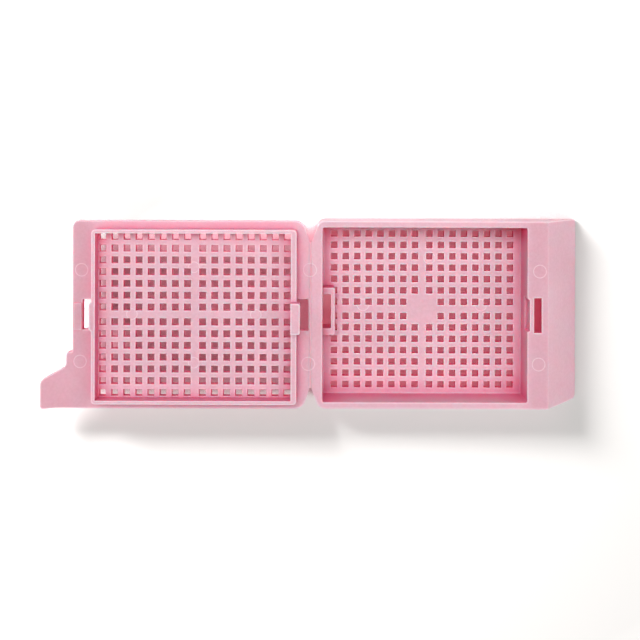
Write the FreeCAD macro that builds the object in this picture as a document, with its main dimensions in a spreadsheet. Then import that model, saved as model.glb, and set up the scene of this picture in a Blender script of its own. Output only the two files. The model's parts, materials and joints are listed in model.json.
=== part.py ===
import FreeCAD, Part
import os
import Sketcher

# Tissue cassette: one injection moulding, a tray and a lid joined by a living hinge, lying open.
# Lengths are in millimetres. Each body is drawn from the hinge line (x = 0), with the tray towards +X,
# the lid towards -X and z = 0 at the tray's underside. Its Placement then moves the centre of the tray's
# well to x = 0.

os.makedirs("parts", exist_ok=True)
doc = FreeCAD.newDocument("tissue_cassette")

# ---------------------------------------------------------------- driving dimensions
DIMENSIONS = {
    "cassette_width": 28.5,       # tray and lid, across the hinge line
    "tray_height": 5.5,           # underside to rim
    "side_draft": 0.15,           # each side is this much narrower at the base
    "side_wall": 1.0,
    "floor_thickness": 1.0,
    "hinge_strip": 0.95,          # hinge line to the outer face of the rear wall
    "hinge_strip_depth": 1.0,     # thickness of the strip that carries the web
    "rear_wall": 0.88,
    "cavity_length": 31.09,
    "cavity_corner": 0.5,         # upright corners of the cavity
    "cavity_floor_fillet": 0.3,
    "front_wall": 1.03,
    "ledge_length": 3.18,         # cavity's end to the top edge of the writing face
    "ledge_thickness": 1.0,
    "face_run": 5.5,              # horizontal length of the slanted writing face
    "face_wall": 1.4,             # its thickness, measured along x
    "toe_height": 0.3,            # upright edge at its foot
    "corner_radius": 1.0,         # upright outer corners
    "foot_corner_radius": 0.6,    # corners at the foot of the writing face
    "web_length": 0.3,            # living hinge, along x
    "web_thickness": 0.25,
    "closed_gap": 0.2,            # lid to rim when shut: the hinge axis is half of it above the rim
    "notch_depth": 2.95,          # vee notch at each end of the hinge, along y
    "notch_half_width": 1.1,      # its half width at the outer edge
    "lid_thickness": 1.0,
    "frame_height": 1.8,          # raised frame on the lid, which sits inside the tray
    "frame_wall": 0.55,
    "frame_hinge_wall": 0.85,
    "frame_side_clearance": 0.17,
    "frame_rear_clearance": 0.22,
    "frame_front_clearance": 0.22,
    "frame_corner": 0.6,
    "hole_size": 1.0,             # square flow holes
    "tray_pitch_along": 1.81,
    "tray_pitch_across": 1.787,
    "tray_hole_margin": 0.8,      # least land between a hole and the cavity's wall
    "lid_pitch_along": 1.84,
    "lid_pitch_across": 1.79,
    "lid_hole_margin": 0.04,      # least land between a hole and the frame
    "centre_rib": 1.25,           # spacing across the centre lines, in pitches
    "rear_hook_width": 4.6,       # rear hook, a tower on the frame's hinge-side wall
    "rear_hook_height": 3.0,      # above the lid's plate
    "rear_hook_barb": 1.2,        # height of its barb
    "rear_hook_reach": 0.55,      # barb's reach past the frame
    "hook_corner": 0.3,
    "hook_lead_in": 0.3,          # chamfer on its inner edge, which swings past the well
    "hook_side_clearance": 0.35,  # well to hook, each side
    "hook_back_clearance": 0.21,  # well's bar to the hook's inner face
    "hook_engagement": 0.2,       # hook's depth in the well when the lid is shut
    "well_wall": 1.0,             # bracket on the rear wall that takes the rear hook
    "well_bar": 0.58,
    "well_corner": 0.3,
    "catch_play": 0.6,            # rear barb to the lip of the rear wall above it
    "catch_recess_clearance": 0.15,
    "rear_slot_length": 1.75,     # slots in the plate beside the frame, under each hook
    "front_slot_length": 1.9,
    "slot_side_clearance": 0.1,   # a slot is this much wider than its hook, each side
    "front_hook_width": 4.4,
    "front_hook_barb": 0.9,
    "front_hook_reach": 0.45,
    "front_hook_chamfer": 0.35,
    "notch_side_clearance": 0.35, # notch in the cavity's front wall to the front hook
    "notch_back_clearance": 0.17,
    "notch_floor_clearance": 0.35,
    "ledge_slot_length": 1.15,
    "ledge_slot_width": 5.3,
    "lid_corner": 1.0,
    "tab_step": 0.98,             # thumb tab at one corner of the lid
    "tab_step_from_side": 8.5,
    "tab_shoulder_from_side": 6.33,
    "tab_reach": 4.75,
    "tab_tip_width": 4.32,
    "tab_bend": 2.4,              # lid's end to the bend in the tab
    "tab_rise": 0.6,              # height of the tab's tip above the plate's inner face
    "tab_small_corner": 0.4,
    "tab_large_corner": 1.0,
}

sheet = doc.addObject("Spreadsheet::Sheet", "size")
sheet.Label = "size"
for row, (alias, number) in enumerate(DIMENSIONS.items(), start=1):
    sheet.set(f"A{row}", alias)
    sheet.set(f"B{row}", str(number))
    sheet.setAlias(f"B{row}", alias)
doc.recompute()


def cell(alias):
    return f"size.{alias}"


# ---------------------------------------------------------------- derived lengths, as expressions
# tray, along x
REAR_FACE = cell("hinge_strip")
CAVITY_START = f"({REAR_FACE} + size.rear_wall)"
CAVITY_END = f"({CAVITY_START} + size.cavity_length)"
HOLLOW_START = f"({CAVITY_END} + size.front_wall)"
FACE_TOP = f"({CAVITY_END} + size.ledge_length)"
FACE_FOOT = f"({FACE_TOP} + size.face_run)"
TRAY_CENTRE = f"(({CAVITY_START} + {CAVITY_END}) / 2)"
FACE_SLOPE = "(size.face_run / (size.tray_height - size.toe_height))"
# across y
HALF_WIDTH = "(size.cassette_width / 2)"
BASE_HALF_WIDTH = f"({HALF_WIDTH} - size.side_draft)"
CAVITY_HALF_WIDTH = f"({HALF_WIDTH} - size.side_wall)"
HOLLOW_HALF_WIDTH = f"({BASE_HALF_WIDTH} - size.side_wall)"
HINGE_HALF_LENGTH = f"({HALF_WIDTH} - size.notch_depth)"
HOOK_HALF_WIDTH = "(size.rear_hook_width / 2)"
WELL_HALF_WIDTH = f"({HOOK_HALF_WIDTH} + size.hook_side_clearance)"
BRACKET_HALF_WIDTH = f"({WELL_HALF_WIDTH} + size.well_wall)"
NOTCH_HALF_WIDTH = "(size.front_hook_width / 2 + size.notch_side_clearance)"
# heights
RIM = cell("tray_height")
HINGE_AXIS = f"({RIM} + size.closed_gap / 2)"
LEDGE_UNDERSIDE = f"({RIM} - size.ledge_thickness)"
STRIP_UNDERSIDE = f"({RIM} - size.hinge_strip_depth)"
WEB_UNDERSIDE = f"({RIM} - size.web_thickness)"
LID_UNDERSIDE = f"({RIM} - size.lid_thickness)"
FRAME_TOP = f"({RIM} + size.frame_height)"
REAR_HOOK_TOP = f"({RIM} + size.rear_hook_height)"
# what each hook needs of the tray when the lid is shut and lies a closed gap above the rim
WELL_TOP = f"({RIM} + size.closed_gap - size.rear_hook_height + size.hook_engagement)"
CATCH_LIP = "(size.rear_hook_height - size.rear_hook_barb - size.closed_gap - size.catch_play)"
CATCH_RECESS = "(size.rear_hook_reach - size.frame_rear_clearance + size.catch_recess_clearance)"
NOTCH_LENGTH = "(size.front_hook_reach - size.frame_front_clearance + size.notch_back_clearance)"
NOTCH_HEIGHT = "(size.frame_height - size.closed_gap + size.notch_floor_clearance)"
# lid, distances from the hinge line towards -X
FRAME_REAR = f"({CAVITY_START} + size.frame_rear_clearance)"
FRAME_FRONT = f"({CAVITY_END} - size.frame_front_clearance)"
FRAME_HALF_WIDTH = f"({CAVITY_HALF_WIDTH} - size.frame_side_clearance)"
FRAME_INNER_REAR = f"({FRAME_REAR} + size.frame_hinge_wall)"
FRAME_INNER_FRONT = f"({FRAME_FRONT} - size.frame_wall)"
FRAME_INNER_HALF_WIDTH = f"({FRAME_HALF_WIDTH} - size.frame_wall)"
FRAME_CENTRE = f"(({FRAME_INNER_REAR} + {FRAME_INNER_FRONT}) / 2)"
TAB_TIP = f"({FACE_TOP} + size.tab_reach)"
TAB_BEND = f"({FACE_TOP} + size.tab_bend)"
WEB_HALF = "(size.web_length / 2)"
WELL_REACH = f"({FRAME_INNER_REAR} + size.hook_back_clearance)"
BRACKET_REACH = f"({WELL_REACH} + size.well_bar)"
# how far a cutting outline runs past the faces it cuts, and the two tolerances of the tests below
BEYOND = 2
PAST = 0.1
SAME = 1e-3
ROUNDING = 1e-4


def value(expression):
    return float(sheet.evalExpression(expression))


def bind(feature, prop, expression):
    feature.setExpression(prop, expression)


# ---------------------------------------------------------------- helpers for sketches and features
def new_body(label):
    body = doc.addObject("PartDesign::Body", label)
    body.Label = label
    bind(body, "Placement.Base.x", f"-{TRAY_CENTRE}")
    return body


def new_sketch(body, name, plane, offset="0"):
    """A sketch on the body's own XY, XZ or YZ plane, moved along that plane's normal by an expression."""
    sketch = body.newObject("Sketcher::SketchObject", name)
    origin_plane = next(f for f in body.Origin.OriginFeatures if f.Role == f"{plane}_Plane")
    sketch.AttachmentSupport = [(origin_plane, "")]
    sketch.MapMode = "FlatFace"
    bind(sketch, "AttachmentOffset.Base.z", offset)
    return sketch


def place_point(sketch, line, horizontal, vertical):
    """Ties the start of a line to the sketch's origin by two expressions."""
    for kind, expression in (("DistanceX", horizontal), ("DistanceY", vertical)):
        index = sketch.addConstraint(
            Sketcher.Constraint(kind, -1, 1, line, 1, value(expression)))
        bind(sketch, f"Constraints[{index}]", expression)


def polygon(body, name, plane, corners, offset="0"):
    """A closed outline of straight lines through corners given as pairs of expressions."""
    sketch = new_sketch(body, name, plane, offset)
    points = [FreeCAD.Vector(value(u), value(v), 0) for u, v in corners]
    count = len(points)
    for index, start in enumerate(points):
        sketch.addGeometry(Part.LineSegment(start, points[(index + 1) % count]), False)
    for index in range(count):
        sketch.addConstraint(Sketcher.Constraint("Coincident", index, 2, (index + 1) % count, 1))
    for index, (u, v) in enumerate(corners):
        place_point(sketch, index, u, v)
    doc.recompute()
    return sketch


def rectangle(body, name, plane, low_u, high_u, low_v, high_v, offset="0"):
    corners = [(low_u, low_v), (high_u, low_v), (high_u, high_v), (low_u, high_v)]
    return polygon(body, name, plane, corners, offset)


def settle(body, feature):
    """Recomputes, and makes the feature the body's tip."""
    doc.recompute()
    body.Tip = feature
    doc.recompute()
    return feature


def pad(body, name, sketch, length, reverse=False, midplane=False):
    feature = body.newObject("PartDesign::Pad", name)
    feature.Profile = sketch
    bind(feature, "Length", length)
    feature.Reversed = reverse
    feature.Midplane = midplane
    return settle(body, feature)


def pocket(body, name, sketch, length, reverse=False, midplane=False):
    """A cut that has to take something away: it stops the build if the volume stays the same."""
    before = body.Shape.Volume
    feature = body.newObject("PartDesign::Pocket", name)
    feature.Profile = sketch
    bind(feature, "Length", length)
    feature.Reversed = reverse
    feature.Midplane = midplane
    settle(body, feature)
    if not body.Shape.Volume < before:
        raise RuntimeError(f"{name} cuts nothing")
    return feature


def dress(body, kind, name, size_property, expression, picked):
    """A fillet or chamfer on the tip's edges for which picked(edge) is true."""
    base = body.Tip
    names = [f"Edge{n}" for n, edge in enumerate(base.Shape.Edges, start=1) if picked(edge)]
    if not names:
        raise RuntimeError(f"{name} finds no edge")
    feature = body.newObject(kind, name)
    feature.Base = (base, names)
    bind(feature, size_property, expression)
    return settle(body, feature)


def fillet(body, name, expression, picked):
    return dress(body, "PartDesign::Fillet", name, "Radius", expression, picked)


def chamfer(body, name, expression, picked):
    return dress(body, "PartDesign::Chamfer", name, "Size", expression, picked)


def near(a, b):
    return abs(a - b) < SAME


def upright_at(places):
    """Picks straight upright edges at any of the given (x, y) places, which are pairs of expressions."""
    targets = [(value(x), value(y)) for x, y in places]

    def picked(edge):
        low, high = edge.Vertexes[0].Point, edge.Vertexes[-1].Point
        upright = near(low.x, high.x) and near(low.y, high.y) and not near(low.z, high.z)
        return upright and any(near(low.x, x) and near(low.y, y) for x, y in targets)

    return picked


def rows_that_fit(half_space, margin, pitch):
    """How many holes fit between a centre line and a wall, the first one half a centre rib away."""
    room = f"({half_space} - {margin} - size.hole_size / 2)"
    return f"(floor({room} / {pitch} - size.centre_rib / 2 + {ROUNDING}) + 1)"


def hole_quadrants(body, name, centre_x, columns, rows, along, across, top, depth, skip_centre):
    """A grid of square through holes: one quadrant, patterned and mirrored about both centre lines."""
    half = "size.hole_size / 2"

    def block(label, first_column, first_row, column_count, row_count):
        x = f"({centre_x} + (size.centre_rib / 2 + {first_column}) * {along})"
        y = f"((size.centre_rib / 2 + {first_row}) * {across})"
        sketch = rectangle(body, f"{label}_sketch", "XY",
                           f"{x} - {half}", f"{x} + {half}", f"{y} - {half}", f"{y} + {half}", top)
        seed = pocket(body, f"{label}_seed", sketch, depth)
        pattern = body.newObject("PartDesign::MultiTransform", f"{label}_pattern")
        pattern.Originals = [seed]
        steps = []
        for axis, pitch, count in (("X", along, column_count), ("Y", across, row_count)):
            if value(count) > 1:
                step = body.newObject("PartDesign::LinearPattern", f"{label}_along_{axis}")
                line = next(f for f in body.Origin.OriginFeatures if f.Role == f"{axis}_Axis")
                step.Direction = (line, [""])
                bind(step, "Length", f"({count} - 1) * {pitch}")
                bind(step, "Occurrences", count)
                steps.append(step)
        for axis, plane in (("x", centre_plane), ("y", middle_plane)):
            mirror = body.newObject("PartDesign::Mirrored", f"{label}_mirror_{axis}")
            mirror.MirrorPlane = (plane, [""])
            steps.append(mirror)
        pattern.Transformations = steps
        settle(body, pattern)

    middle_plane = next(f for f in body.Origin.OriginFeatures if f.Role == "XZ_Plane")
    centre_plane = body.newObject("PartDesign::Plane", f"{name}_centre_plane")
    yz_plane = next(f for f in body.Origin.OriginFeatures if f.Role == "YZ_Plane")
    centre_plane.AttachmentSupport = [(yz_plane, "")]
    centre_plane.MapMode = "FlatFace"
    bind(centre_plane, "AttachmentOffset.Base.z", centre_x)
    doc.recompute()
    if skip_centre:
        block(f"{name}_inner", 0, 1, "1", f"({rows} - 1)")
        block(f"{name}_outer", 1, 0, f"({columns} - 1)", rows)
    else:
        block(name, 0, 0, columns, rows)


# ---------------------------------------------------------------- tray
def make_tray():
    body = new_body("tray")
    length = f"({FACE_FOOT} - {REAR_FACE})"

    # outer block, narrower at the base, cut to the slant of the writing face
    section = polygon(body, "tray_section", "YZ",
                      [(f"-{BASE_HALF_WIDTH}", "0"), (BASE_HALF_WIDTH, "0"),
                       (HALF_WIDTH, RIM), (f"-{HALF_WIDTH}", RIM)], REAR_FACE)
    pad(body, "tray_block", section, length)
    past_foot = f"{FACE_FOOT} + {BEYOND}"
    slant = polygon(body, "face_slant", "XZ",
                    [(FACE_TOP, RIM), (FACE_FOOT, cell("toe_height")),
                     (past_foot, cell("toe_height")), (past_foot, RIM)])
    pocket(body, "face_cut", slant, f"size.cassette_width + {BEYOND}", midplane=True)

    rear = value(REAR_FACE)
    foot = value(FACE_FOOT)
    rim = value(RIM)

    def rear_corner(edge):
        low, high = edge.Vertexes[0].Point, edge.Vertexes[-1].Point
        return near(low.x, rear) and near(high.x, rear) and near(abs(low.z - high.z), rim)

    def foot_corner(edge):
        low, high = edge.Vertexes[0].Point, edge.Vertexes[-1].Point
        return near(low.x, foot) and near(high.x, foot) and not near(low.z, high.z)

    fillet(body, "rear_corners", cell("corner_radius"), rear_corner)
    fillet(body, "foot_corners", cell("foot_corner_radius"), foot_corner)

    # cavity, with rounded upright corners and a small fillet round the floor
    opening = rectangle(body, "cavity_opening", "XY", CAVITY_START, CAVITY_END,
                        f"-{CAVITY_HALF_WIDTH}", CAVITY_HALF_WIDTH, RIM)
    pocket(body, "cavity", opening, f"{RIM} - size.floor_thickness")
    sides = (f"-{CAVITY_HALF_WIDTH}", CAVITY_HALF_WIDTH)
    fillet(body, "cavity_corners", cell("cavity_corner"),
           upright_at([(x, y) for x in (CAVITY_START, CAVITY_END) for y in sides]))
    floor_height = value("size.floor_thickness")
    start = value(CAVITY_START)
    end = value(CAVITY_END)

    def floor_edge(edge):
        box = edge.BoundBox
        flat = near(box.ZMin, floor_height) and near(box.ZMax, floor_height)
        return flat and box.XMin > start - SAME and box.XMax < end + SAME

    fillet(body, "cavity_floor", cell("cavity_floor_fillet"), floor_edge)

    # hollow under the ledge and the writing face, open below
    inner_top = f"({FACE_TOP} + size.ledge_thickness * {FACE_SLOPE} - size.face_wall)"
    inner_foot = f"({FACE_TOP} + {RIM} * {FACE_SLOPE} - size.face_wall)"
    hollow = polygon(body, "hollow_section", "XZ",
                     [(HOLLOW_START, "0"), (HOLLOW_START, LEDGE_UNDERSIDE),
                      (inner_top, LEDGE_UNDERSIDE), (inner_foot, "0")])
    pocket(body, "hollow", hollow, f"2 * {HOLLOW_HALF_WIDTH}", midplane=True)

    # slot through the ledge, and the notch in the cavity's front wall
    slot = rectangle(body, "ledge_slot_outline", "XY",
                     HOLLOW_START, f"{HOLLOW_START} + size.ledge_slot_length",
                     "-size.ledge_slot_width / 2", "size.ledge_slot_width / 2", RIM)
    pocket(body, "ledge_slot", slot, f"size.ledge_thickness + {PAST}")
    notch = rectangle(body, "catch_notch_outline", "XY", f"{CAVITY_END} - size.front_wall / 2",
                      f"{CAVITY_END} + {NOTCH_LENGTH}", f"-{NOTCH_HALF_WIDTH}", NOTCH_HALF_WIDTH, RIM)
    pocket(body, "catch_notch", notch, NOTCH_HEIGHT)

    # strip behind the rear wall that carries the living hinge, thinned below towards the web
    inside_wall = f"{REAR_FACE} + size.rear_wall / 2"
    notch_slope = "size.notch_depth / size.notch_half_width"
    strip_end_half = f"({HINGE_HALF_LENGTH} + ({REAR_FACE} - {WEB_HALF}) * {notch_slope})"
    strip = polygon(body, "hinge_strip_outline", "XY",
                    [(WEB_HALF, f"-{HINGE_HALF_LENGTH}"), (inside_wall, f"-{strip_end_half}"),
                     (inside_wall, strip_end_half), (WEB_HALF, HINGE_HALF_LENGTH)], RIM)
    pad(body, "hinge_strip", strip, cell("hinge_strip_depth"), reverse=True)
    thinning = polygon(body, "strip_thinning", "XZ",
                       [(WEB_HALF, WEB_UNDERSIDE), (REAR_FACE, STRIP_UNDERSIDE),
                        (WEB_HALF, f"{STRIP_UNDERSIDE} - {PAST}"), (f"{WEB_HALF} - {PAST}", WEB_UNDERSIDE)])
    pocket(body, "strip_underside", thinning, cell("cassette_width"), midplane=True)

    # well on the rear wall: a bracket from the floor up, and a shaft that runs on under the wall's lip
    bracket = rectangle(body, "well_bracket_outline", "XY", f"{CAVITY_START} - size.rear_wall / 2",
                        BRACKET_REACH, f"-{BRACKET_HALF_WIDTH}", BRACKET_HALF_WIDTH)
    pad(body, "well_bracket", bracket, WELL_TOP)
    fillet(body, "well_corners", cell("well_corner"),
           upright_at([(BRACKET_REACH, f"-{BRACKET_HALF_WIDTH}"), (BRACKET_REACH, BRACKET_HALF_WIDTH)]))
    shaft = rectangle(body, "well_shaft_outline", "XY", f"{CAVITY_START} - {CATCH_RECESS}", WELL_REACH,
                      f"-{WELL_HALF_WIDTH}", WELL_HALF_WIDTH)
    pocket(body, "well_shaft", shaft, f"{RIM} - {CATCH_LIP}", reverse=True)

    # flow holes; the four at the centre are left out, where the plastic is fed in
    columns = rows_that_fit("size.cavity_length / 2", cell("tray_hole_margin"), cell("tray_pitch_along"))
    rows = rows_that_fit(CAVITY_HALF_WIDTH, cell("tray_hole_margin"), cell("tray_pitch_across"))
    hole_quadrants(body, "tray_holes", TRAY_CENTRE, columns, rows, cell("tray_pitch_along"),
                   cell("tray_pitch_across"), cell("floor_thickness"), cell("floor_thickness"), True)
    return body


# ---------------------------------------------------------------- lid
def lid_outline():
    side = HALF_WIDTH
    return [
        (f"-{WEB_HALF}", HINGE_HALF_LENGTH),
        ("-size.notch_half_width", side),
        (f"-{FACE_TOP}", side),
        (f"-{FACE_TOP}", f"-({side} - size.tab_step_from_side)"),
        (f"-({FACE_TOP} + size.tab_step)", f"-({side} - size.tab_step_from_side)"),
        (f"-({FACE_TOP} + size.tab_step)", f"-({side} - size.tab_shoulder_from_side)"),
        (f"-{TAB_TIP}", f"-({side} - size.tab_tip_width)"),
        (f"-{TAB_TIP}", f"-{side}"),
        ("-size.notch_half_width", f"-{side}"),
        (f"-{WEB_HALF}", f"-{HINGE_HALF_LENGTH}"),
    ]


def make_lid():
    body = new_body("lid")
    corners = lid_outline()

    # plate and thumb tab in one pad, high enough for the tab's tip, then cut to the bent profile
    outline = polygon(body, "lid_outline", "XY", corners, LID_UNDERSIDE)
    pad(body, "lid_plate", outline, "size.lid_thickness + size.tab_rise")
    past_hinge = str(BEYOND)
    past_tip = f"-{TAB_TIP} - {BEYOND}"
    tip_top = f"{RIM} + size.tab_rise"
    tip_underside = f"{LID_UNDERSIDE} + size.tab_rise"
    top_waste = polygon(body, "plate_top_waste", "XZ",
                        [(past_hinge, RIM), (past_hinge, f"{tip_top} + {BEYOND}"),
                         (f"-{TAB_TIP}", f"{tip_top} + {BEYOND}"), (f"-{TAB_TIP}", tip_top),
                         (f"-{TAB_BEND}", RIM)])
    pocket(body, "plate_top", top_waste, f"size.cassette_width + {BEYOND}", midplane=True)
    under_waste = polygon(body, "tab_under_waste", "XZ",
                          [(f"-{TAB_BEND}", LID_UNDERSIDE), (f"-{TAB_TIP}", tip_underside),
                           (past_tip, tip_underside), (past_tip, LID_UNDERSIDE)])
    pocket(body, "tab_underside", under_waste, f"size.cassette_width + {BEYOND}", midplane=True)
    fillet(body, "plate_corners", cell("lid_corner"), upright_at([corners[1], corners[2], corners[8]]))
    fillet(body, "tab_small_corners", cell("tab_small_corner"),
           upright_at([corners[3], corners[4], corners[7]]))
    fillet(body, "tab_large_corners", cell("tab_large_corner"), upright_at([corners[5], corners[6]]))

    # underside thinned towards the web
    thinning = polygon(body, "plate_thinning", "XZ",
                       [(f"-{WEB_HALF}", WEB_UNDERSIDE), (f"-{REAR_FACE}", LID_UNDERSIDE),
                        (f"-{WEB_HALF}", f"{LID_UNDERSIDE} - {PAST}"),
                        (f"-{WEB_HALF} + {PAST}", WEB_UNDERSIDE)])
    pocket(body, "plate_underside", thinning, cell("cassette_width"), midplane=True)

    # raised frame that sits inside the tray's cavity
    outer = rectangle(body, "frame_outline", "XY", f"-{FRAME_FRONT}", f"-{FRAME_REAR}",
                      f"-{FRAME_HALF_WIDTH}", FRAME_HALF_WIDTH, RIM)
    pad(body, "frame_block", outer, cell("frame_height"))
    sides = (f"-{FRAME_HALF_WIDTH}", FRAME_HALF_WIDTH)
    fillet(body, "frame_corners", cell("frame_corner"),
           upright_at([(f"-{x}", y) for x in (FRAME_FRONT, FRAME_REAR) for y in sides]))
    inner = rectangle(body, "frame_opening", "XY", f"-{FRAME_INNER_FRONT}", f"-{FRAME_INNER_REAR}",
                      f"-{FRAME_INNER_HALF_WIDTH}", FRAME_INNER_HALF_WIDTH, FRAME_TOP)
    pocket(body, "frame_inside", inner, cell("frame_height"))

    # slots in the plate under each hook
    rear_slot_half = f"({HOOK_HALF_WIDTH} + size.slot_side_clearance)"
    rear_slot = rectangle(body, "rear_slot_outline", "XY", f"-{FRAME_REAR}",
                          f"-{FRAME_REAR} + size.rear_slot_length", f"-{rear_slot_half}", rear_slot_half, RIM)
    pocket(body, "rear_slot", rear_slot, cell("lid_thickness"))
    front_slot_half = "(size.front_hook_width / 2 + size.slot_side_clearance)"
    front_slot = rectangle(body, "front_slot_outline", "XY", f"-{FRAME_FRONT} - size.front_slot_length",
                           f"-{FRAME_FRONT}", f"-{front_slot_half}", front_slot_half, RIM)
    pocket(body, "front_slot", front_slot, cell("lid_thickness"))

    # rear hook: a tower on the frame's hinge-side wall with a barb towards the hinge
    tower = rectangle(body, "rear_hook_outline", "XY", f"-{FRAME_INNER_REAR}", f"-{FRAME_REAR}",
                      f"-{HOOK_HALF_WIDTH}", HOOK_HALF_WIDTH, RIM)
    pad(body, "rear_hook", tower, cell("rear_hook_height"))
    barb_edge = f"(-{FRAME_REAR} + size.rear_hook_reach)"
    barb = rectangle(body, "rear_barb_outline", "XY", f"-{FRAME_INNER_REAR}", barb_edge,
                     f"-{HOOK_HALF_WIDTH}", HOOK_HALF_WIDTH, REAR_HOOK_TOP)
    pad(body, "rear_barb", barb, cell("rear_hook_barb"), reverse=True)
    fillet(body, "rear_barb_corners", cell("hook_corner"),
           upright_at([(barb_edge, f"-{HOOK_HALF_WIDTH}"), (barb_edge, HOOK_HALF_WIDTH)]))
    hook_back = -value(FRAME_INNER_REAR)
    hook_top = value(REAR_HOOK_TOP)

    def inner_top_edge(edge):
        return all(near(end.Point.x, hook_back) and near(end.Point.z, hook_top) for end in edge.Vertexes)

    chamfer(body, "rear_hook_lead_in", cell("hook_lead_in"), inner_top_edge)

    # front hook: a barb on the frame's far wall, level with the frame's top
    front_edge = f"(-{FRAME_FRONT} - size.front_hook_reach)"
    sides = ("-size.front_hook_width / 2", "size.front_hook_width / 2")
    front_barb = rectangle(body, "front_barb_outline", "XY", front_edge, f"-{FRAME_INNER_FRONT}",
                           *sides, FRAME_TOP)
    pad(body, "front_barb", front_barb, cell("front_hook_barb"), reverse=True)
    chamfer(body, "front_barb_corners", cell("front_hook_chamfer"),
            upright_at([(front_edge, y) for y in sides]))

    # flow holes inside the frame
    half_length = f"(({FRAME_INNER_FRONT} - {FRAME_INNER_REAR}) / 2)"
    columns = rows_that_fit(half_length, cell("lid_hole_margin"), cell("lid_pitch_along"))
    rows = rows_that_fit(FRAME_INNER_HALF_WIDTH, cell("lid_hole_margin"), cell("lid_pitch_across"))
    hole_quadrants(body, "lid_holes", f"-{FRAME_CENTRE}", columns, rows, cell("lid_pitch_along"),
                   cell("lid_pitch_across"), RIM, cell("lid_thickness"), False)
    return body


# ---------------------------------------------------------------- living hinge
def make_living_hinge():
    body = new_body("living_hinge")
    web = rectangle(body, "web_outline", "XY", f"-{WEB_HALF}", WEB_HALF,
                    f"-{HINGE_HALF_LENGTH}", HINGE_HALF_LENGTH, RIM)
    pad(body, "web", web, cell("web_thickness"), reverse=True)
    return body


# ---------------------------------------------------------------- build, check and write
bodies = [make_tray(), make_lid(), make_living_hinge()]
doc.recompute()

for item in doc.Objects:
    if "Invalid" in item.State or "Error" in item.State:
        raise RuntimeError(f"{item.Label} failed: {item.State}")
for body in bodies:
    shape = body.Shape
    if shape.isNull() or not shape.isValid() or len(shape.Solids) != 1:
        raise RuntimeError(f"{body.Label} is not one valid solid")

for body in bodies:
    body.Shape.exportStep(f"parts/{body.Label}.step")
    box = body.Shape.BoundBox
    print(f"{body.Label}: {body.Shape.Volume:.1f} mm3, x {box.XMin:.2f} to {box.XMax:.2f}, "
          f"y {box.YMin:.2f} to {box.YMax:.2f}, z {box.ZMin:.2f} to {box.ZMax:.2f}")
print(f"hinge axis: x {-value(TRAY_CENTRE):.4f}, z {value(HINGE_AXIS):.4f}")
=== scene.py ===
import json
import math

import bmesh
import bpy
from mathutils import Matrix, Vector


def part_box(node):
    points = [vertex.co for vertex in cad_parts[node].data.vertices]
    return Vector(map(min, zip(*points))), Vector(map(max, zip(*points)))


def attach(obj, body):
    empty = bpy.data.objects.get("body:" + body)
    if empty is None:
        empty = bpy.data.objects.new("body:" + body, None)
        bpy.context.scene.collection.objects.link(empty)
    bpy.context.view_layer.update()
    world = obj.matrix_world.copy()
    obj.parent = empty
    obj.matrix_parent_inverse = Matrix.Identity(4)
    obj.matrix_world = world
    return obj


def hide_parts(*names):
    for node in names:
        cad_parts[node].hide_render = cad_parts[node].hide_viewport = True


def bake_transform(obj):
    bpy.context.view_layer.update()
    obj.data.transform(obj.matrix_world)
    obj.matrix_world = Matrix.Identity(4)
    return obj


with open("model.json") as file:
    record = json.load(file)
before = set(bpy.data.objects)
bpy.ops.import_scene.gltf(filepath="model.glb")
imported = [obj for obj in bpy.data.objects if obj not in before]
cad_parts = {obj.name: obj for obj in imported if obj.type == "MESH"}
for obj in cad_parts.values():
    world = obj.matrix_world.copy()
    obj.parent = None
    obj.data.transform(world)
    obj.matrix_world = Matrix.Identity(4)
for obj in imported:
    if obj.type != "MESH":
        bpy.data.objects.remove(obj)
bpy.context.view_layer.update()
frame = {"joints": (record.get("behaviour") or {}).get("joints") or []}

# The moulding is drawn in millimetres from the hinge line, with the tray towards +X and the lid towards -X,
# and is brought into the frame, in metres, when each piece is finished.
MM = 0.001
HINGE_X = frame["joints"][0]["pos_m"][0]
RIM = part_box("living_hinge")[1].z / MM
TOUCH = 0.002                     # places nearer than this are the same place
SHARP = math.radians(35)          # edges that turn more than this are given a round
HOLE_EDGE = 1.4                   # radians: the rims of the holes turn more than this
SMOOTH = math.radians(40)         # faces that meet at less than this are shaded as one
FACES_ALONG = 0.9                 # least cosine between a face's normal and the way it faces
EASED = 0.1                       # round on the edges that a hand meets
HOLE_BEVEL = 0.07

# tray
HALF_WIDTH = 14.25
BASE_HALF_WIDTH = 14.1
REAR_FACE = 0.95
WELL_START = 1.83
WELL_END = 32.92
WELL_HALF_WIDTH = 13.25
FLOOR = 1.0
LEDGE_EDGE = 36.1
FACE_FOOT = 41.6
TOE = 0.3
WEB_HALF = 0.15
WEB_THICKNESS = 0.25
WEB_HALF_LENGTH = 11.1
STRIP_HALF_LENGTH = 13.2          # the strip beside the web, where it leaves the tray's rear wall
STRIP_DEPTH = 1.0

# lid
LID_UNDERSIDE = RIM - 1.0
LID_END = -36.1
FRAME_REAR = -2.05
FRAME_FRONT = -32.78
FRAME_HALF_WIDTH = 13.08
FRAME_INNER_REAR = -2.9
FRAME_INNER_FRONT = -32.23
FRAME_INNER_HALF_WIDTH = 12.53
FRAME_HEIGHT = 1.8
HOOK_HEIGHT = 3.0

# flow holes: 16 columns and 14 rows, drawn as halves either way from a slightly wider centre rib
HOLE = 1.0
HALF_COLUMNS = 8
HALF_ROWS = 7
HALF_RIB = 0.625                  # centre line to the first hole, in pitches
TRAY_PITCH = (1.81, 1.787)
LID_PITCH = (1.84, 1.79)

ANY = (-1000.0, 1000.0)
UP = (0, 0, 1)
DOWN = (0, 0, -1)


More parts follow.
